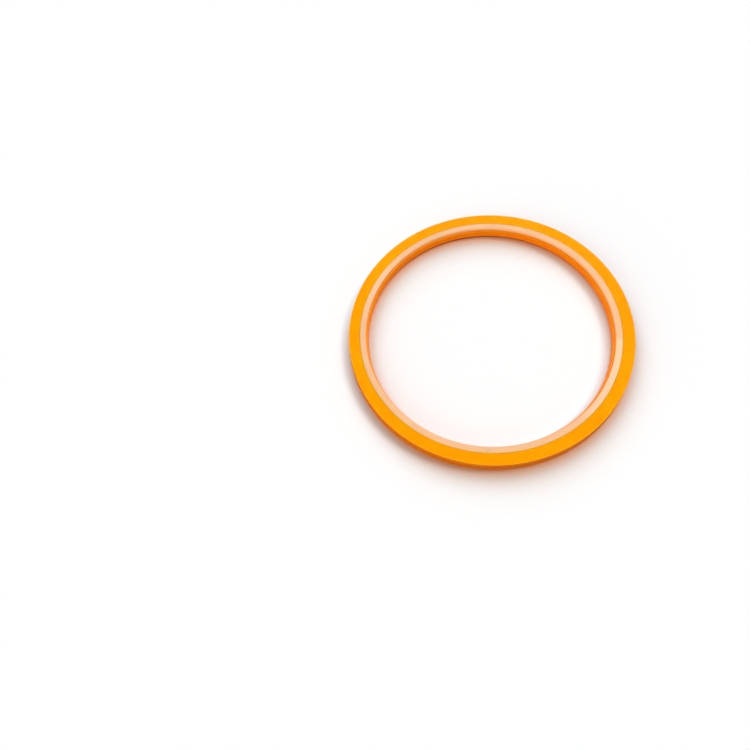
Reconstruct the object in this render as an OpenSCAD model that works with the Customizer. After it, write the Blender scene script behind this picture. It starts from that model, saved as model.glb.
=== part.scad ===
// Rod buffer seal: a two-lip polyurethane ring with a nylon backup ring let into the
// inner corner of its heel. The axis is Z, the lips point down and stand on Z = 0,
// and the flat heel is on top. Sections are drawn as [radius, height], in millimetres.

/* [Rod and housing] */
// Diameter of the rod that the seal runs on
rod_d = 105; // [60:0.5:200]
// Radial depth of the housing groove, from the rod to the groove's bottom
section_w = 7.75; // [6.4:0.05:10]
// Height of the seal from the lip plane to the heel
seal_h = 5.8; // [4.8:0.1:8]

/* [Outer lip] */
// How far the outer lip stands proud of the heel, on the radius
outer_lip_flare = 0.5; // [0.2:0.05:0.8]
// Width of the outer lip across its crest
outer_lip_w = 1.45; // [1.2:0.05:1.8]
// Height above the lip plane where the outside wall starts to flare
flare_start_h = 2.5; // [2:0.1:3.2]
// Height above the lip plane where the flare is widest
flare_full_h = 1.1; // [0.8:0.1:1.4]

/* [Groove between the lips] */
// Width of the groove at its mouth
groove_w = 2.75; // [2:0.05:3.3]
// Depth of the groove below the lip plane
groove_depth = 2.9; // [2.2:0.1:3.4]
// Width of the groove at its bottom, before the rounding
groove_floor_w = 1.2; // [1:0.05:1.5]
// How far the inner lip's side of the groove leans over its depth
groove_lean = 0.3; // [0.1:0.05:0.6]

/* [Inner lip] */
// How far the sealing edge stands inside the rod's surface, on the radius
lip_bite = 0.5; // [0.4:0.05:1.3]
// Height of the sealing edge above the lip plane
lip_edge_h = 1; // [0.7:0.05:1.4]
// Radial width of the bevel between the sealing edge and the land
lip_bevel_w = 0.5; // [0.3:0.05:0.7]
// How far the bore stands inside the rod's surface where it meets the recess
bore_bite = 0.2; // [0:0.05:0.6]

/* [Relief pads] */
// Number of raised pads on the inner lip's land
pads = 4; // [2:1:8]
// Radial width of the land that stays free on each side of a pad
pad_margin = 0.625; // [0.325:0.025:1.025]
// Height of a pad above the land
pad_h = 0.3; // [0.15:0.05:0.5]
// Radial width of the slope round a pad
pad_slope_w = 0.15; // [0.05:0.05:0.3]
// Gap between the round ends of two neighbouring pads
pad_gap = 2; // [1:0.1:8]
// Angle from the X axis to the middle of the first gap
pad_turn = 45; // [0:1:90]

/* [Backup ring] */
// Radial width of the backup ring
backup_w = 2.5; // [2:0.05:3.2]
// Height of the backup ring
backup_h = 1.7; // [1.3:0.05:2.6]
// Clearance between the backup ring's bore and the rod, on the radius
rod_gap = 0.3; // [0.1:0.05:0.5]
// Clearance between the backup ring and the recess wall, on the radius
recess_gap = 0.05; // [0.02:0.01:0.15]
// How far the backup ring's face lies below the heel
face_sink = 0.05; // [0:0.01:0.2]
// Bevel on the backup ring's hidden outer corner
backup_bevel = 0.3; // [0.2:0.05:0.5]

/* [Edges] */
// Radius on the outer corner of the heel
heel_round = 0.15; // [0.05:0.05:0.4]
// Radius on the recess edge, the backup ring's edges and the land's edges
edge_round = 0.1; // [0.04:0.02:0.14]
// Radius in the corner of the recess
recess_round = 0.15; // [0.05:0.05:0.2]
// Radius on each side of the outer lip's crest
crest_round = 0.58; // [0.3:0.02:0.6]
// Radius on each side of the groove's bottom
groove_round = 0.5; // [0.3:0.05:0.6]
// Radius that blends the flare into the outside wall
flare_round = 1.5; // [0.5:0.1:2]

/* [Hidden] */
// Steps in a full turn of the rings
$fn = 240;

// Straight steps in one rounded corner of a section
arc_steps = 8;
// Steps in a full turn of a pad's round end
pad_end_steps = 48;
// How far a pad's root reaches into the land, so that the two fuse
pad_root = 0.2;

// Radii of the seal ring, from the bore to the outside
rod_r = rod_d / 2;
lip_edge_r = rod_r - lip_bite;
bore_r = rod_r - bore_bite;
heel_r = rod_r + section_w;
crest_out_r = heel_r + outer_lip_flare;
crest_in_r = crest_out_r - outer_lip_w;
groove_in_r = crest_in_r - groove_w;
groove_floor_in_r = groove_in_r + groove_lean;
groove_floor_out_r = groove_floor_in_r + groove_floor_w;
land_in_r = lip_edge_r + lip_bevel_w;

// Radii of the backup ring and of the recess that holds it
backup_in_r = rod_r + rod_gap;
backup_out_r = backup_in_r + backup_w;
recess_r = backup_out_r + recess_gap;

// Height of the recess floor, on which the backup ring sits
recess_floor_h = seal_h - face_sink - backup_h;

// Radial width of a pad where it meets the land, the middle circle of the pads, and the
// angle that one pad's straight stretch spans
pad_w = groove_in_r - land_in_r - 2 * pad_margin;
pad_r = (land_in_r + groove_in_r) / 2;
pad_pitch = 360 / pads;
pad_sweep = pad_pitch - (pad_gap + pad_w) / pad_r * 180 / PI;

// Corners of the seal ring's section as [radius, height, rounding]
seal_corners = [
    [heel_r, seal_h, heel_round],
    [heel_r, flare_start_h, flare_round],
    [crest_out_r, flare_full_h, crest_round],
    [crest_out_r, 0, crest_round],
    [crest_in_r, 0, crest_round],
    [groove_floor_out_r, groove_depth, groove_round],
    [groove_floor_in_r, groove_depth, groove_round],
    [groove_in_r, pad_h, edge_round],
    [land_in_r, pad_h, edge_round],
    [lip_edge_r, lip_edge_h, 0],
    [bore_r, recess_floor_h, edge_round],
    [recess_r, recess_floor_h, recess_round],
    [recess_r, seal_h, edge_round],
];

// Corners of the backup ring's section: its hidden outer corner is bevelled, so that it
// clears the rounded corner of the recess
backup_base_h = recess_floor_h;
backup_top_h = backup_base_h + backup_h;
backup_corners = [
    [backup_in_r, backup_top_h, edge_round],
    [backup_out_r, backup_top_h, edge_round],
    [backup_out_r, backup_base_h + backup_bevel, 0],
    [backup_out_r - backup_bevel, backup_base_h, 0],
    [backup_in_r, backup_base_h, edge_round],
];

// Corner number i of a closed list of corners, which wraps round at both ends
function corner(list, i) = list[(i + len(list)) % len(list)];

// The place of a corner, without its rounding
function place(c) = [c[0], c[1]];

// Unit vector from p to q
function heading(p, q) = (q - p) / norm(q - p);

// Points that round corner b, between its neighbours a and c, with radius r
function rounded(a, b, c, r) =
    r == 0 ? [b] :
    let (
        u = heading(b, a),
        v = heading(b, c),
        half = acos(u * v) / 2,
        centre = b + (u + v) / norm(u + v) * r / sin(half),
        first = b + u * r / tan(half) - centre,
        last = b + v * r / tan(half) - centre,
        start = atan2(first[1], first[0]),
        turn = (atan2(last[1], last[0]) - start + 540) % 360 - 180,
        step = turn / arc_steps
    )
    [for (k = [0:arc_steps]) centre + r * [cos(start + step * k), sin(start + step * k)]];

// Outline through all the corners of a list, each with its own rounding
function outline(list) = [
    for (i = [0:len(list) - 1])
    each rounded(place(corner(list, i - 1)), place(list[i]), place(corner(list, i + 1)), list[i][2])
];

// One relief pad: an arc-shaped bar with round ends and sloping sides, which starts at X
module relief_pad() {
    slope = pad_slope_w / pad_h;
    full_h = pad_h + pad_root;
    face_w = pad_w / 2 - pad_slope_w;
    root_w = face_w + slope * full_h;
    rotate_extrude(angle = pad_sweep)
        polygon([
            [pad_r - face_w, 0],
            [pad_r + face_w, 0],
            [pad_r + root_w, full_h],
            [pad_r - root_w, full_h],
        ]);
    for (end = [0, pad_sweep])
        rotate([0, 0, end])
            translate([pad_r, 0, 0])
                cylinder(h = full_h, r1 = face_w, r2 = root_w, $fn = pad_end_steps);
}

// The polyurethane ring: heel, outer lip, groove, and inner lip with its pads
module seal_ring() {
    color("orange") {
        rotate_extrude() polygon(outline(seal_corners));
        for (i = [0:pads - 1])
            rotate([0, 0, pad_turn + pad_pitch * i + (pad_pitch - pad_sweep) / 2]) relief_pad();
    }
}

// The nylon ring that fills the inner corner of the heel
module backup_ring() {
    color("antiquewhite")
        rotate_extrude() polygon(outline(backup_corners));
}

seal_ring();
backup_ring();
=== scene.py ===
"""Looks of a rod buffer seal: an orange polyurethane ring with a natural nylon backup ring
let into the inner corner of its heel.

Lengths are in metres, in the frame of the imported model: the axis is Z, the lips stand on
Z = 0 and the flat heel faces up. Sections are drawn as (radius, height).
"""

import math

import bpy
from mathutils import Matrix, Vector


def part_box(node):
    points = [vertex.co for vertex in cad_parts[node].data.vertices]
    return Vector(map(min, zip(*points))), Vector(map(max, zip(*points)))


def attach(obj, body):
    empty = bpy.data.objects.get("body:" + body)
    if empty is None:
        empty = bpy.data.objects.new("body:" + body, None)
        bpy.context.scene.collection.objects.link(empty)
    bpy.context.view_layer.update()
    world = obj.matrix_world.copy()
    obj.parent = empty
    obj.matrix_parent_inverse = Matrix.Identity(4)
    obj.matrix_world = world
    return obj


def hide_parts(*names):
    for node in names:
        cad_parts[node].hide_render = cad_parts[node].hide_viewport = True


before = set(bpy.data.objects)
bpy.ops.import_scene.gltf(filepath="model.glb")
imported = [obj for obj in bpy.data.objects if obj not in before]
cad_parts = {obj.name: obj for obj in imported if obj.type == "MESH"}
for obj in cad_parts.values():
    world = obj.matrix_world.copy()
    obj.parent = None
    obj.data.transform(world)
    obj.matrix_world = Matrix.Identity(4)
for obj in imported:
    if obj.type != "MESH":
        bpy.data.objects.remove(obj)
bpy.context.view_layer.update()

MM = 0.001
BODY = "root"
WHITE = (1.0, 1.0, 1.0, 1.0)

# Sizes that the frame gives
seal_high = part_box("seal_ring")[1]
backup_low, backup_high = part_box("backup_ring")
crest_out_r = seal_high.x
seal_h = seal_high.z
backup_out_r = backup_high.x
backup_base_h = backup_low.z
backup_top_h = backup_high.z

# Outer lip
outer_lip_flare = 0.5 * MM
outer_lip_w = 1.45 * MM
flare_start_h = 2.5 * MM
flare_full_h = 1.1 * MM

# Groove between the lips
groove_w = 2.75 * MM
groove_depth = 2.9 * MM
groove_floor_w = 1.2 * MM
groove_lean = 0.3 * MM

# Inner lip
section_w = 7.75 * MM
lip_bite = 0.5 * MM
lip_edge_h = 1.0 * MM
lip_bevel_w = 0.5 * MM
bore_bite = 0.2 * MM

# Relief pads on the land of the inner lip
pads = 4
pad_margin = 0.625 * MM
pad_h = 0.3 * MM
pad_slope_w = 0.15 * MM
pad_gap = 2.0 * MM
pad_turn = math.radians(45)
pad_root = 0.2 * MM

# Backup ring in its recess
backup_w = 2.5 * MM
recess_gap = 0.05 * MM
backup_bevel = 0.3 * MM

# Edge roundings
heel_round = 0.15 * MM
edge_round = 0.1 * MM
seat_round = 0.04 * MM
recess_round = 0.15 * MM
crest_round = 0.58 * MM
groove_round = 0.5 * MM
flare_round = 1.5 * MM
lip_edge_round = 0.05 * MM
pad_face_round = 0.06 * MM

# Middle point of the rounding along a pad's face, as shares of the rounding: how far it
# lies inside the sharp edge and how far above the face
PAD_ROUND_IN = 0.3
PAD_ROUND_UP = 0.25

# Radii worked out from these
heel_r = crest_out_r - outer_lip_flare
rod_r = heel_r - section_w
crest_in_r = crest_out_r - outer_lip_w
groove_in_r = crest_in_r - groove_w
groove_floor_in_r = groove_in_r + groove_lean
groove_floor_out_r = groove_floor_in_r + groove_floor_w
lip_edge_r = rod_r - lip_bite
bore_r = rod_r - bore_bite
land_in_r = lip_edge_r + lip_bevel_w
backup_in_r = backup_out_r - backup_w
recess_r = backup_out_r + recess_gap
pad_w = groove_in_r - land_in_r - 2 * pad_margin
pad_r = (land_in_r + groove_in_r) / 2

# Fineness of the meshes: steps round a ring, the largest turn in a rounded corner, the
# largest turn along a pad's sides, and steps in the half turn of a pad's end
RING_STEPS = 720
ARC_STEP = math.radians(11)
PAD_STEP = math.radians(0.5)
PAD_END_STEPS = 24
# Edges that turn by more than this stay sharp
SMOOTH_ANGLE = math.radians(24)
# How much the larger faces set the normals at an edge, where 50 is neutral and 100 the most
LARGE_FACE_WEIGHT = 100

seal_corners = [
    (heel_r, seal_h, heel_round),
    (heel_r, flare_start_h, flare_round),
    (crest_out_r, flare_full_h, crest_round),
    (crest_out_r, 0.0, crest_round),
    (crest_in_r, 0.0, crest_round),
    (groove_floor_out_r, groove_depth, groove_round),
    (groove_floor_in_r, groove_depth, groove_round),
    (groove_in_r, pad_h, edge_round),
    (land_in_r, pad_h, edge_round),
    (lip_edge_r, lip_edge_h, lip_edge_round),
    (bore_r, backup_base_h, edge_round),
    (recess_r, backup_base_h, recess_round),
    (recess_r, seal_h, seat_round),
]
backup_corners = [
    (backup_in_r, backup_top_h, edge_round),
    (backup_out_r, backup_top_h, seat_round),
    (backup_out_r, backup_base_h + backup_bevel, 0.0),
    (backup_out_r - backup_bevel, backup_base_h, 0.0),
    (backup_in_r, backup_base_h, seat_round),
]


def rounded(before, corner, after, radius):
    """Points that round a corner of a section between its two neighbours."""
    if radius == 0:
        return [corner]
    u = (before - corner).normalized()
    v = (after - corner).normalized()
    half = u.angle(v) / 2
    centre = corner + (u + v).normalized() * radius / math.sin(half)
    reach = radius / math.tan(half)
    first = corner + u * reach - centre
    last = corner + v * reach - centre
    start = math.atan2(first.y, first.x)
    turn = math.remainder(math.atan2(last.y, last.x) - start, 2 * math.pi)
    steps = max(2, math.ceil(abs(turn) / ARC_STEP))
    angles = [start + turn * k / steps for k in range(steps + 1)]
    return [centre + radius * Vector((math.cos(a), math.sin(a))) for a in angles]


def outline(corners):
    """The whole section through all its corners, each with its own rounding."""
    points = []
    for i, (r, z, radius) in enumerate(corners):
        before = Vector(corners[i - 1][:2])
        after = Vector(corners[(i + 1) % len(corners)][:2])
        points += rounded(before, Vector((r, z)), after, radius)
    return points


def made_object(name, vertices, faces):
    """An object with a mesh of these vertices and faces, linked to the scene."""
    mesh = bpy.data.meshes.new(name)
    mesh.from_pydata(vertices, [], faces)
    mesh.update()
    thing = bpy.data.objects.new(name, mesh)
    bpy.context.scene.collection.objects.link(thing)
    return thing


def at_angle(r, angle, z):
    """The point at a radius, an angle round the axis and a height."""
    return (r * math.cos(angle), r * math.sin(angle), z)


def lathe(name, section):
    """A ring with this section, closed all the way round."""
    count = len(section)
    vertices, faces = [], []
    for i in range(RING_STEPS):
        angle = 2 * math.pi * i / RING_STEPS
        vertices += [at_angle(r, angle, z) for r, z in section]
        here, there = i * count, (i + 1) % RING_STEPS * count
        for j in range(count):
            k = (j + 1) % count
            faces.append((here + j, here + k, there + k, there + j))
    return made_object(name, vertices, faces)


def pad_end(angle, half_w, z, turned):
    """Points between the two sides on a pad's round end."""
    middle = Vector(at_angle(pad_r, angle, z))
    points = []
    for k in range(1, PAD_END_STEPS):
        a = angle + turned + math.pi * k / PAD_END_STEPS
        points.append(middle + Vector(at_angle(half_w, a, 0.0)))
    return points


def pad_ring(start, sweep, half_w, z):
    """Points round a pad at one height, along its outer side, round an end, back along its
    inner side and round the other end; and how many of them lie on one side."""
    steps = math.ceil(sweep / PAD_STEP)
    angles = [start + sweep * k / steps for k in range(steps + 1)]
    points = [at_angle(pad_r + half_w, a, z) for a in angles]
    points += pad_end(angles[-1], half_w, z, 0.0)
    points += [at_angle(pad_r - half_w, a, z) for a in reversed(angles)]
    points += pad_end(angles[0], half_w, z, math.pi)
    return points, len(angles)


def relief_pad(name, start, sweep):
    """One raised pad as a closed solid: an arc-shaped bar with round ends and sloping sides."""
    slope = pad_slope_w / pad_h
    full_h = pad_h + pad_root
    face_w = pad_w / 2 - pad_slope_w
    levels = [
        (face_w - pad_face_round, 0.0),
        (face_w - pad_face_round * PAD_ROUND_IN, pad_face_round * PAD_ROUND_UP),
        (face_w + slope * pad_face_round, pad_face_round),
        (face_w + slope * full_h, full_h),
    ]
    vertices, faces = [], []
    for half_w, z in levels:
        ring, side = pad_ring(start, sweep, half_w, z)
        vertices += ring
    count = len(ring)
    for level in range(len(levels) - 1):
        low, high = level * count, (level + 1) * count
        for j in range(count):
            k = (j + 1) % count
            faces.append((low + j, low + k, high + k, high + j))
    top = (len(levels) - 1) * count
    inner_first = side + PAD_END_STEPS - 1
    inner_last = inner_first + side - 1
    far_end = list(range(side - 1, inner_first + 1))
    near_end = list(range(inner_last, count)) + [0]
    for base, flip in ((0, True), (top, False)):
        caps = [far_end, near_end]
        for j in range(side - 1):
            back = inner_last - j
            caps.append([j, j + 1, back - 1, back])
        for cap in caps:
            ids = [base + j for j in cap]
            faces.append(tuple(reversed(ids)) if flip else tuple(ids))
    return made_object(name, vertices, faces)


def fused(body, additions):
    """The body with the additions joined to it as one closed surface."""
    for extra in additions:
        union = body.modifiers.new("union", "BOOLEAN")
        union.operation = "UNION"
        union.solver = "MANIFOLD"
        union.object = extra
    graph = bpy.context.evaluated_depsgraph_get()
    mesh = bpy.data.meshes.new_from_object(body.evaluated_get(graph))
    body.modifiers.clear()
    body.data = mesh
    mesh.name = body.name
    for extra in additions:
        bpy.data.objects.remove(extra)


def smoothed(thing):
    """Smooth shading with sharp corners kept, and flat faces that stay flat to their edges."""
    mesh = thing.data
    mesh.shade_smooth()
    mesh.set_sharp_from_angle(angle=SMOOTH_ANGLE)
    weighted = thing.modifiers.new("flat faces", "WEIGHTED_NORMAL")
    weighted.keep_sharp = True
    weighted.weight = LARGE_FACE_WEIGHT


def seal_body():
    """The polyurethane ring with its relief pads."""
    ring = lathe("seal_body", outline(seal_corners))
    pitch = 2 * math.pi / pads
    sweep = pitch - (pad_gap + pad_w) / pad_r
    starts = [pad_turn + pitch * i + (pitch - sweep) / 2 for i in range(pads)]
    fused(ring, [relief_pad("pad", start, sweep) for start in starts])
    smoothed(ring)
    return ring


def backup_body():
    """The nylon ring."""
    ring = lathe("backup_body", outline(backup_corners))
    smoothed(ring)
    return ring


# Materials

# Share of the normal that lies along the axis, on a wall and on a level face
LEVEL_SPAN = (0.3, 0.9)
# Values that nearly all of a noise lies between
NOISE_SPAN = (0.3, 0.7)
# Detail of the clouds and of the grain, and how rough the detail of the turning lines is
CLOUD_DETAIL = 3.0
GRAIN_DETAIL = 2.0
LINE_ROUGHNESS = 0.6
# Strength of the bump that the marks give, and the height that it stands for
RELIEF_STRENGTH = 0.35
RELIEF_HEIGHT = 0.02 * MM
# Marks on each material: scales, per metre, of its clouds, of its grain, and of its turning
# lines across and along them; the detail of the lines; and their share in the relief
SEAL_MARKS = {
    "cloud_scale": 90.0,
    "grain_scale": 900.0,
    "across_scale": 4200.0,
    "along_scale": 25.0,
    "line_detail": 2.0,
    "line_share": 0.6,
}
BACKUP_MARKS = {
    "cloud_scale": 120.0,
    "grain_scale": 1200.0,
    "across_scale": 2600.0,
    "along_scale": 12.0,
    "line_detail": 3.0,
    "line_share": 0.8,
}


def srgb(red, green, blue):
    """A colour given in display values of 0 to 255, as a linear colour with full alpha."""
    values = [c / 255 for c in (red, green, blue)]
    linear = [c / 12.92 if c <= 0.04045 else ((c + 0.055) / 1.055) ** 2.4 for c in values]
    return (*linear, 1.0)


class Nodes:
    """A material's node tree, with short ways to add nodes and link them."""

    def __init__(self, name):
        self.material = bpy.data.materials.new(name)
        self.material.use_nodes = True
        self.tree = self.material.node_tree
        self.tree.nodes.clear()

    def add(self, kind, inputs=(), **settings):
        """A node of this kind; inputs are (socket, value or output socket) pairs."""
        node = self.tree.nodes.new(kind)
        for key, value in settings.items():
            setattr(node, key, value)
        for key, value in dict(inputs).items():
            self.put(node.inputs[key], value)
        return node

    def put(self, socket, value):
        """Links an output to the socket, or sets the socket's own value."""
        if isinstance(value, bpy.types.NodeSocket):
            self.tree.links.new(value, socket)
        else:
            socket.default_value = value

    def math(self, operation, *values):
        """The result of a Math node on up to three values."""
        node = self.add("ShaderNodeMath", operation=operation)
        for socket, value in zip(node.inputs, values):
            self.put(socket, value)
        return node.outputs[0]

    def without(self, value):
        """What a share leaves of 1."""
        return self.math("SUBTRACT", 1.0, value)

    def blend(self, factor, first, second, mode="MIX"):
        """Two colours mixed by a factor."""
        node = self.add("ShaderNodeMix", data_type="RGBA", blend_type=mode)
        self.put(node.inputs["Factor"], factor)
        self.put(node.inputs["A"], first)
        self.put(node.inputs["B"], second)
        return node.outputs["Result"]

    def between(self, value, low, high, to_low=0.0, to_high=1.0):
        """A value mapped from one range to another, smoothly and clamped."""
        node = self.add("ShaderNodeMapRange", interpolation_type="SMOOTHSTEP")
        for socket, number in zip(node.inputs, (value, low, high, to_low, to_high)):
            self.put(socket, number)
        return node.outputs["Result"]

    def noise(self, vector, scale, detail=2.0, roughness=0.5):
        """A noise value of about 0 to 1."""
        inputs = {"Vector": vector, "Scale": scale, "Detail": detail, "Roughness": roughness}
        return self.add("ShaderNodeTexNoise", inputs).outputs["Fac"]

    def place(self):
        """The point on the piece, its coordinates, and its distance from the ring's axis."""
        point = self.add("ShaderNodeTexCoord").outputs["Object"]
        parts = self.add("ShaderNodeSeparateXYZ", {"Vector": point}).outputs
        flat = self.add("ShaderNodeCombineXYZ", {"X": parts["X"], "Y": parts["Y"]}).outputs[0]
        length = self.add("ShaderNodeVectorMath", {0: flat}, operation="LENGTH")
        return point, parts, length.outputs["Value"]

    def flatness(self):
        """How level the surface is: 1 on the flat faces and 0 on the walls."""
        normal = self.add("ShaderNodeTexCoord").outputs["Normal"]
        upright = self.add("ShaderNodeSeparateXYZ", {"Vector": normal}).outputs["Z"]
        return self.between(self.math("ABSOLUTE", upright), *LEVEL_SPAN)

    def turned(self, parts, across, across_scale, along_scale):
        """Coordinates for marks that run round the ring and change slowly along it."""
        inputs = {
            "X": self.math("MULTIPLY", parts["X"], along_scale),
            "Y": self.math("MULTIPLY", parts["Y"], along_scale),
            "Z": self.math("MULTIPLY", across, across_scale),
        }
        return self.add("ShaderNodeCombineXYZ", inputs).outputs[0]

    def marks(self, point, parts, radius, *, cloud_scale, grain_scale, across_scale,
              along_scale, line_detail, line_share):
        """Slow clouds, fine grain and turning lines, and the bump of the last two."""
        cloud = self.noise(point, cloud_scale, detail=CLOUD_DETAIL)
        grain = self.noise(point, grain_scale, detail=GRAIN_DETAIL)
        across = self.math("ADD", radius, parts["Z"])
        round_ring = self.turned(parts, across, across_scale, along_scale)
        lines = self.noise(round_ring, 1.0, detail=line_detail, roughness=LINE_ROUGHNESS)
        from_lines = self.math("MULTIPLY", lines, line_share)
        from_grain = self.math("MULTIPLY", grain, 1.0 - line_share)
        inputs = {
            "Height": self.math("ADD", from_lines, from_grain),
            "Strength": RELIEF_STRENGTH,
            "Distance": RELIEF_HEIGHT,
        }
        return cloud, grain, lines, self.add("ShaderNodeBump", inputs).outputs[0]

    def finish(self, shader):
        """Sends a shader to the surface and returns the material."""
        self.add("ShaderNodeOutputMaterial", {"Surface": shader})
        return self.material


# Colours of the polyurethane, with painted shade and light on its walls and a painted highlight
ORANGE = {
    "face": srgb(255, 161, 2),
    "face_cloud": srgb(255, 165, 4),
    # Painted highlight along the heel's outer edge
    "edge": srgb(255, 186, 12),
    "lines": srgb(244, 140, 3),
    # Painted shade on the bore, deeper than the faces, and painted light that makes it paler at its
    # seat
    "bore": srgb(255, 126, 2),
    "painted_seat_glow": srgb(255, 152, 8),
    # Painted shade on the outer wall, and painted light that makes it paler toward its foot
    "outside": srgb(206, 99, 2),
    "painted_foot_light": srgb(216, 120, 8),
    # Painted shade in the groove between the lips
    "groove": srgb(250, 104, 2),
    "sheen": srgb(255, 180, 0),
}
# Depth below the heel, and above the lips, that still has the colour of a flat face, and
# over as much again it fades into the painted shade of the walls
END_FADE = 0.6 * MM
# How far inside the heel's radius the painted shade of the outer wall begins and is full
OUTSIDE_BAND = (0.3 * MM, 0.05 * MM)
# Height below the backup ring over which painted light makes the bore paler
SEAT_FADE = 0.9 * MM
# Heights at which the outer wall, with painted light, begins to grow paler toward its foot, and is
# palest
FOOT_BAND = (flare_full_h * 1.6, flare_full_h * 0.6)
# Width and depth over which the painted shade of the groove between the lips begins
GROOVE_FADE = 0.4 * MM
GROOVE_DEPTH_FADE = 1.2 * MM
# Width and strength of the painted highlight along the heel's outer edge
EDGE_HIGHLIGHT_W = 0.45 * MM
EDGE_HIGHLIGHT_SHARE = 0.5
# Values of the cloud noise between which the faces turn from one orange to the other
SEAL_CLOUD_SPAN = (0.35, 0.65)
# Strength of the turning lines in the colour
SEAL_LINE_SHARE = 0.10
# Roughness of the turned heel, and how much less rough the moulded lips are
SEAL_ROUGHNESS = (0.44, 0.46)
LIP_GLOSS = 0.2
# How much less light sinks into the ledge under the backup ring, where it would be lost
SEAT_SHALLOW = 0.9


def painted_wall_shading(nodes, height, radius):
    """Painted shade on the bore, the outer wall and the groove; painted light at the seat and foot."""
    inset, full = OUTSIDE_BAND
    outside = nodes.between(radius, heel_r - inset, heel_r - full)
    outer = nodes.blend(nodes.between(height, *FOOT_BAND), ORANGE["outside"], ORANGE["painted_foot_light"])
    at_seat = nodes.between(height, backup_base_h - SEAT_FADE, backup_base_h)
    bore = nodes.blend(at_seat, ORANGE["bore"], ORANGE["painted_seat_glow"])
    walls = nodes.blend(outside, bore, outer)
    past_inner = nodes.between(radius, groove_in_r, groove_in_r + GROOVE_FADE)
    past_outer = nodes.between(radius, crest_in_r, crest_in_r - GROOVE_FADE)
    between_lips = nodes.math("MULTIPLY", past_inner, past_outer)
    groove = nodes.math("MULTIPLY", between_lips, nodes.between(height, 0.0, GROOVE_DEPTH_FADE))
    return nodes.blend(groove, walls, ORANGE["groove"])


def polyurethane():
    """Satin orange polyurethane: deep and slightly translucent, with faint turning marks."""
    nodes = Nodes("polyurethane")
    point, parts, radius = nodes.place()
    height = parts["Z"]
    cloud, grain, lines, relief = nodes.marks(point, parts, radius, **SEAL_MARKS)

    flat = nodes.flatness()
    from_middle = nodes.math("ABSOLUTE", nodes.math("SUBTRACT", height, seal_h / 2))
    at_end = nodes.between(from_middle, seal_h / 2 - END_FADE * 2, seal_h / 2 - END_FADE)
    faces = nodes.blend(nodes.between(cloud, *SEAL_CLOUD_SPAN), ORANGE["face"], ORANGE["face_cloud"])
    # The walls take the painted shade and light; level faces near the ends keep the orange itself
    walls = painted_wall_shading(nodes, height, radius)
    colour = nodes.blend(nodes.math("MULTIPLY", flat, at_end), walls, faces)
    # Painted highlight along the heel's outer edge
    edge = heel_r + seal_h
    edge_highlight = nodes.between(nodes.math("ADD", radius, height), edge - EDGE_HIGHLIGHT_W, edge)
    colour = nodes.blend(nodes.math("MULTIPLY", edge_highlight, EDGE_HIGHLIGHT_SHARE), colour, ORANGE["edge"])
    lined = nodes.between(lines, *NOISE_SPAN, 0.0, SEAL_LINE_SHARE)
    colour = nodes.blend(lined, colour, ORANGE["lines"])

    ledge = nodes.math("MULTIPLY", flat, nodes.without(at_end))
    depth = nodes.without(nodes.math("MULTIPLY", ledge, SEAT_SHALLOW))
    gloss = nodes.between(height, flare_start_h, flare_full_h, 0.0, LIP_GLOSS)
    rough = nodes.math("SUBTRACT", nodes.between(grain, *NOISE_SPAN, *SEAL_ROUGHNESS), gloss)
    shader = nodes.add(
        "ShaderNodeBsdfPrincipled",
        {
            "Base Color": colour,
            "Roughness": rough,
            "IOR": 1.5,
            "Specular IOR Level": 0.12,
            "Specular Tint": ORANGE["sheen"],
            "Subsurface Weight": depth,
            "Subsurface Radius": (1.0, 0.2, 0.03),
            "Subsurface Scale": 1.2 * MM,
            "Normal": relief,
        },
    )
    return nodes.finish(shader.outputs[0])


# Colours of the nylon: its own cream, with the orange light through it from the polyurethane painted in
CREAM = {
    "face": srgb(227, 174, 119),
    "face_cloud": srgb(233, 181, 127),
    "lines": srgb(228, 168, 112),
    # Painted light: the bore paler than the face, and painted orange glow toward its seat
    "bore": srgb(255, 188, 130),
    "painted_seat_glow": srgb(255, 166, 84),
    # Painted highlight and painted shade on the two sides of the sharp border
    "paler": srgb(246, 192, 138),
    "deeper": srgb(234, 175, 116),
    "speck": srgb(120, 70, 40),
}
# Values of the line noise between which a turning line gains its colour, and its strength
BACKUP_LINE_SPAN = (0.35, 0.7)
BACKUP_LINE_SHARE = 0.35
# Roughness, from the smoothest to the roughest grain
BACKUP_ROUGHNESS = (0.36, 0.46)
# How much of the light sinks in on the level face; on the bore, beside the seat, none does
BACKUP_DEPTH = 0.5
# A sharp border across the nylon's face at the right, painted highlight on one side and painted
# shade on the other: its angle round the axis, half of its own width, and how far each side reaches
BORDER_ANGLE = math.radians(-8.7)
BORDER_HALF = math.radians(0.35)
HIGHLIGHT_SIDE_REACH = math.radians(20)
SHADE_SIDE_REACH = math.radians(45)
# Specks of dirt on the nylon: radius, angle round the axis, half width and strength
SPECKS = (
    (54.56 * MM, math.radians(-94.3), 0.3 * MM, 0.75),
    (55.1 * MM, math.radians(-104.7), 0.22 * MM, 0.4),
)
# The part of a speck's half width that has its full colour
SPECK_CORE = 0.4


def bordered(nodes, parts, colour):
    """The colour with the painted highlight and shade either side of the border across the face."""
    angle = nodes.math("ARCTAN2", parts["Y"], parts["X"])
    past = nodes.between(angle, BORDER_ANGLE - BORDER_HALF, BORDER_ANGLE + BORDER_HALF)
    paler = nodes.between(angle, BORDER_ANGLE - HIGHLIGHT_SIDE_REACH, BORDER_ANGLE)
    deeper = nodes.between(angle, BORDER_ANGLE + SHADE_SIDE_REACH, BORDER_ANGLE)
    colour = nodes.blend(nodes.math("MULTIPLY", paler, nodes.without(past)), colour, CREAM["paler"])
    return nodes.blend(nodes.math("MULTIPLY", deeper, past), colour, CREAM["deeper"])


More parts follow.
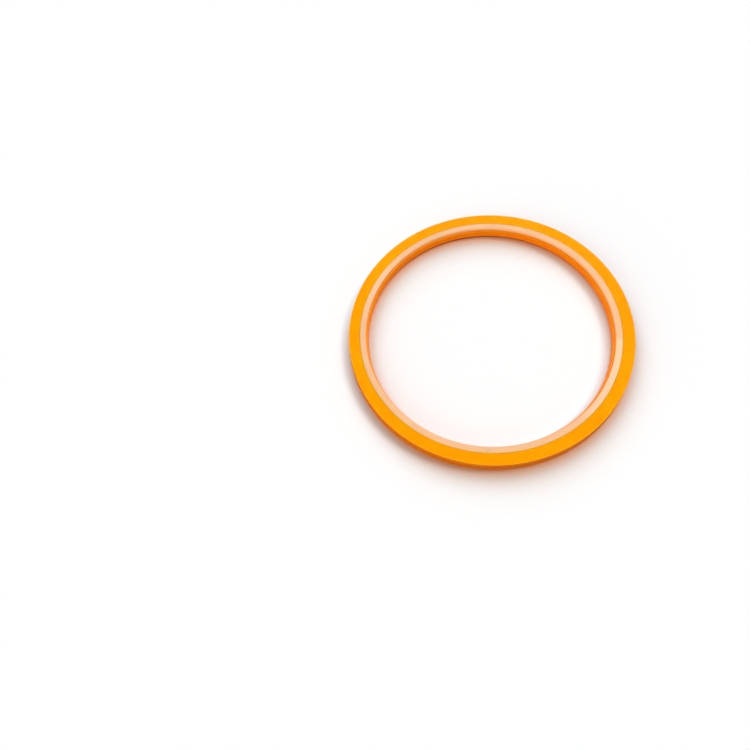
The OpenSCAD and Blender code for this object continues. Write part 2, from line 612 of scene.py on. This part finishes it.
def specked(nodes, point, colour):
    """The colour with the specks of dirt."""
    for r, angle, half_w, share in SPECKS:
        ends = {0: point, 1: at_angle(r, angle, backup_top_h)}
        away = nodes.add("ShaderNodeVectorMath", ends, operation="DISTANCE").outputs["Value"]
        mark = nodes.between(away, half_w, half_w * SPECK_CORE, 0.0, share)
        colour = nodes.blend(mark, colour, CREAM["speck"])
    return colour


def nylon():
    """Natural nylon, cream and translucent, turned, with painted orange light from the ring it lies in.
    """
    nodes = Nodes("nylon")
    point, parts, radius = nodes.place()
    cloud, grain, lines, relief = nodes.marks(point, parts, radius, **BACKUP_MARKS)

    flat = nodes.flatness()
    colour = nodes.blend(nodes.between(cloud, *NOISE_SPAN), CREAM["face"], CREAM["face_cloud"])
    lined = nodes.between(lines, *BACKUP_LINE_SPAN, 0.0, BACKUP_LINE_SHARE)
    colour = nodes.blend(lined, colour, CREAM["lines"])
    # Painted highlight and shade at the sharp border across the face
    colour = bordered(nodes, parts, colour)
    # Painted light on the bore, growing into painted orange glow toward the seat
    at_seat = nodes.between(parts["Z"], backup_top_h, backup_base_h)
    bore = nodes.blend(at_seat, CREAM["bore"], CREAM["painted_seat_glow"])
    colour = specked(nodes, point, nodes.blend(flat, bore, colour))

    rough = nodes.between(grain, *NOISE_SPAN, *BACKUP_ROUGHNESS)
    tangent = nodes.add("ShaderNodeTangent", direction_type="RADIAL", axis="Z")
    shader = nodes.add(
        "ShaderNodeBsdfPrincipled",
        {
            "Base Color": colour,
            "Roughness": rough,
            "IOR": 1.53,
            "Specular IOR Level": 0.8,
            "Anisotropic": 0.9,
            "Anisotropic Rotation": 0.25,
            "Tangent": tangent.outputs[0],
            "Subsurface Weight": nodes.math("MULTIPLY", flat, BACKUP_DEPTH),
            "Subsurface Radius": (1.0, 0.6, 0.35),
            "Subsurface Scale": 0.8 * MM,
            "Normal": relief,
        },
    )
    return nodes.finish(shader.outputs[0])


# The object's pieces


def dressed(piece, material, node):
    """Gives a piece its material and tells the frame what it is."""
    piece.data.materials.clear()
    piece.data.materials.append(material)
    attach(piece, BODY)
    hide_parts(node)


dressed(seal_body(), polyurethane(), "seal_ring")
dressed(backup_body(), nylon(), "backup_ring")

# Floor: half of its width, its plain colour, and its level where it is seen and well lit
FLOOR_HALF = 3.0
FLOOR_PLAIN = (0.92, 0.92, 0.92, 1.0)
FLOOR_SEEN = 0.87
# The deeper shadow goes by how open the floor is in this direction, toward the light, within
# this reach. From SHADE_OPEN up the floor isn't deepened. Below it, a higher power darkens
# a channel more: red, green and blue.
SHADE_AZIMUTH = math.radians(98)
SHADE_ELEVATION = math.radians(42)
SHADE_REACH = 24.0 * MM
SHADE_OPEN = 0.86
SHADE_POWERS = (0.85, 1.25, 1.52)
# Rays that measure how open the floor is toward the light, and all round
OPEN_SAMPLES = 16
CLOSE_SAMPLES = 8
# The warm glow in the shadow beside the ring: its tint and its reach. It is full where the
# floor is no more open, all round and toward the light, than the first value of each range,
# and gone at the second.
GLOW = (1.9, 1.36, 0.95, 1.0)
GLOW_REACH = 7.0 * MM
GLOW_RANGE = (0.35, 1.0)
LIT_RANGE = (0.5, 0.7)
# The tint that takes the ring's orange off the lit floor beside it. It begins at the first
# value of each range and is full at the second: how open the floor is toward the light, and
# how open it is all round.
CLEAN = (1.0, 1.22, 1.34, 1.0)
CLEAN_LIT_RANGE = (0.9, 1.0)
CLEAN_CLOSE_RANGE = (1.0, 0.5)


def direction(azimuth, elevation):
    """The unit vector that points this way from the object."""
    level = math.cos(elevation)
    return Vector((level * math.cos(azimuth), level * math.sin(azimuth), math.sin(elevation)))


def seen_floor(nodes):
    """The floor's colour to the camera: white where it is open, with a deeper shadow away
    from the light, a warm glow in it, and no orange where the light falls beside the ring."""
    toward_light = dict(zip("XYZ", direction(SHADE_AZIMUTH, SHADE_ELEVATION)))
    tilted = nodes.add("ShaderNodeCombineXYZ", toward_light).outputs[0]
    inputs = {"Distance": SHADE_REACH, "Normal": tilted}
    shade = nodes.add("ShaderNodeAmbientOcclusion", inputs, samples=OPEN_SAMPLES).outputs["AO"]
    inputs = {"Distance": GLOW_REACH}
    close = nodes.add("ShaderNodeAmbientOcclusion", inputs, samples=CLOSE_SAMPLES).outputs["AO"]

    openness = nodes.math("MINIMUM", nodes.math("DIVIDE", shade, SHADE_OPEN), 1.0)
    deepened = [nodes.math("POWER", openness, power) for power in SHADE_POWERS]
    levels = [nodes.math("MULTIPLY", level, FLOOR_SEEN) for level in deepened]
    channels = dict(zip(("Red", "Green", "Blue"), levels))
    colour = nodes.add("ShaderNodeCombineColor", channels).outputs[0]

    past_glow = nodes.between(close, *GLOW_RANGE)
    clear = nodes.math("MAXIMUM", past_glow, nodes.between(openness, *LIT_RANGE))
    colour = nodes.blend(1.0, colour, nodes.blend(clear, GLOW, WHITE), "MULTIPLY")

    by_ring = nodes.between(close, *CLEAN_CLOSE_RANGE)
    lit = nodes.math("MULTIPLY", by_ring, nodes.between(openness, *CLEAN_LIT_RANGE))
    return nodes.blend(lit, colour, nodes.blend(1.0, colour, CLEAN, "MULTIPLY"))


def white_floor():
    """White to the camera and in reflections, with the object's shadow kept, and plain to
    all other light."""
    nodes = Nodes("floor")
    plain = nodes.add("ShaderNodeBsdfDiffuse", {"Color": FLOOR_PLAIN})
    seen = nodes.add("ShaderNodeBsdfDiffuse", {"Color": seen_floor(nodes)})
    path = nodes.add("ShaderNodeLightPath").outputs
    straight = nodes.math("MAXIMUM", path["Is Camera Ray"], path["Is Glossy Ray"])
    straight = nodes.math("MAXIMUM", straight, path["Is Transmission Ray"])
    mixed = nodes.add("ShaderNodeMixShader", {"Fac": straight, 1: plain.outputs[0], 2: seen.outputs[0]})
    return nodes.finish(mixed.outputs[0])


sides = ((-1, -1), (1, -1), (1, 1), (-1, 1))
floor_corners = [(x * FLOOR_HALF, y * FLOOR_HALF, 0.0) for x, y in sides]
floor = made_object("floor", floor_corners, [(0, 1, 2, 3)])
floor.data.materials.append(white_floor())

# Light: the level of the light that comes from all round, and the lamps. Each lamp adds its
# share of plain light on the floor: share, azimuth, elevation and spread in degrees.
AMBIENT = 0.33
LAMPS = {
    "key": (0.37, 75, 58, 45),
    "side": (0.25, 14, 51, 18),
    "fill": (0.20, -145, 26, 70),
}


def surroundings():
    """Even light from all round, at full white where the camera sees it."""
    world = bpy.data.worlds.new("surroundings")
    world.use_nodes = True
    tree = world.node_tree
    tree.nodes.clear()
    path = tree.nodes.new("ShaderNodeLightPath")
    seen = tree.nodes.new("ShaderNodeMath")
    seen.operation = "MAXIMUM"
    tree.links.new(path.outputs["Is Camera Ray"], seen.inputs[0])
    tree.links.new(path.outputs["Is Transmission Ray"], seen.inputs[1])
    level = tree.nodes.new("ShaderNodeMapRange")
    level.inputs["To Min"].default_value = AMBIENT
    level.inputs["To Max"].default_value = 1.0
    tree.links.new(seen.outputs[0], level.inputs["Value"])
    background = tree.nodes.new("ShaderNodeBackground")
    background.inputs["Color"].default_value = WHITE
    tree.links.new(level.outputs[0], background.inputs["Strength"])
    output = tree.nodes.new("ShaderNodeOutputWorld")
    tree.links.new(background.outputs[0], output.inputs["Surface"])
    bpy.context.scene.world = world


def soft_light(name, share, azimuth, elevation, spread):
    """A broad light from this direction, which gives the floor this share of plain light."""
    lamp = bpy.data.lights.new(name, "SUN")
    lamp.angle = math.radians(spread)
    lamp.energy = share * math.pi / math.sin(math.radians(elevation))
    light = bpy.data.objects.new(name, lamp)
    source = direction(math.radians(azimuth), math.radians(elevation))
    light.rotation_euler = source.to_track_quat("Z", "Y").to_euler()
    bpy.context.scene.collection.objects.link(light)


surroundings()
for lamp_name, settings in LAMPS.items():
    soft_light(lamp_name, *settings)

# Camera: where it stands, the floor point that its axis meets, its lens and sensor in
# millimetres, and the nearest and farthest distance that it sees
CAMERA_PLACE = Vector((-24.08, -112.04, 217.21)) * MM
CAMERA_AIM = Vector((-49.32, -17.21, 0.0)) * MM
CAMERA_LENS = 26.16
SENSOR_W = 36.0
NEAREST = 0.01
FARTHEST = 20.0


def camera():
    """Looks down on the ring, with the Y axis pointing up in the picture."""
    data = bpy.data.cameras.new("camera")
    data.lens = CAMERA_LENS
    data.sensor_width = SENSOR_W
    data.clip_start = NEAREST
    data.clip_end = FARTHEST
    eye = bpy.data.objects.new("camera", data)
    forward = (CAMERA_AIM - CAMERA_PLACE).normalized()
    right = forward.cross(Vector((0, 1, 0))).normalized()
    up = right.cross(forward)
    turn = Matrix((right, up, -forward)).transposed()
    eye.matrix_world = Matrix.Translation(CAMERA_PLACE) @ turn.to_4x4()
    bpy.context.scene.collection.objects.link(eye)
    bpy.context.scene.camera = eye


camera()
bpy.context.scene.view_settings.view_transform = "Standard"
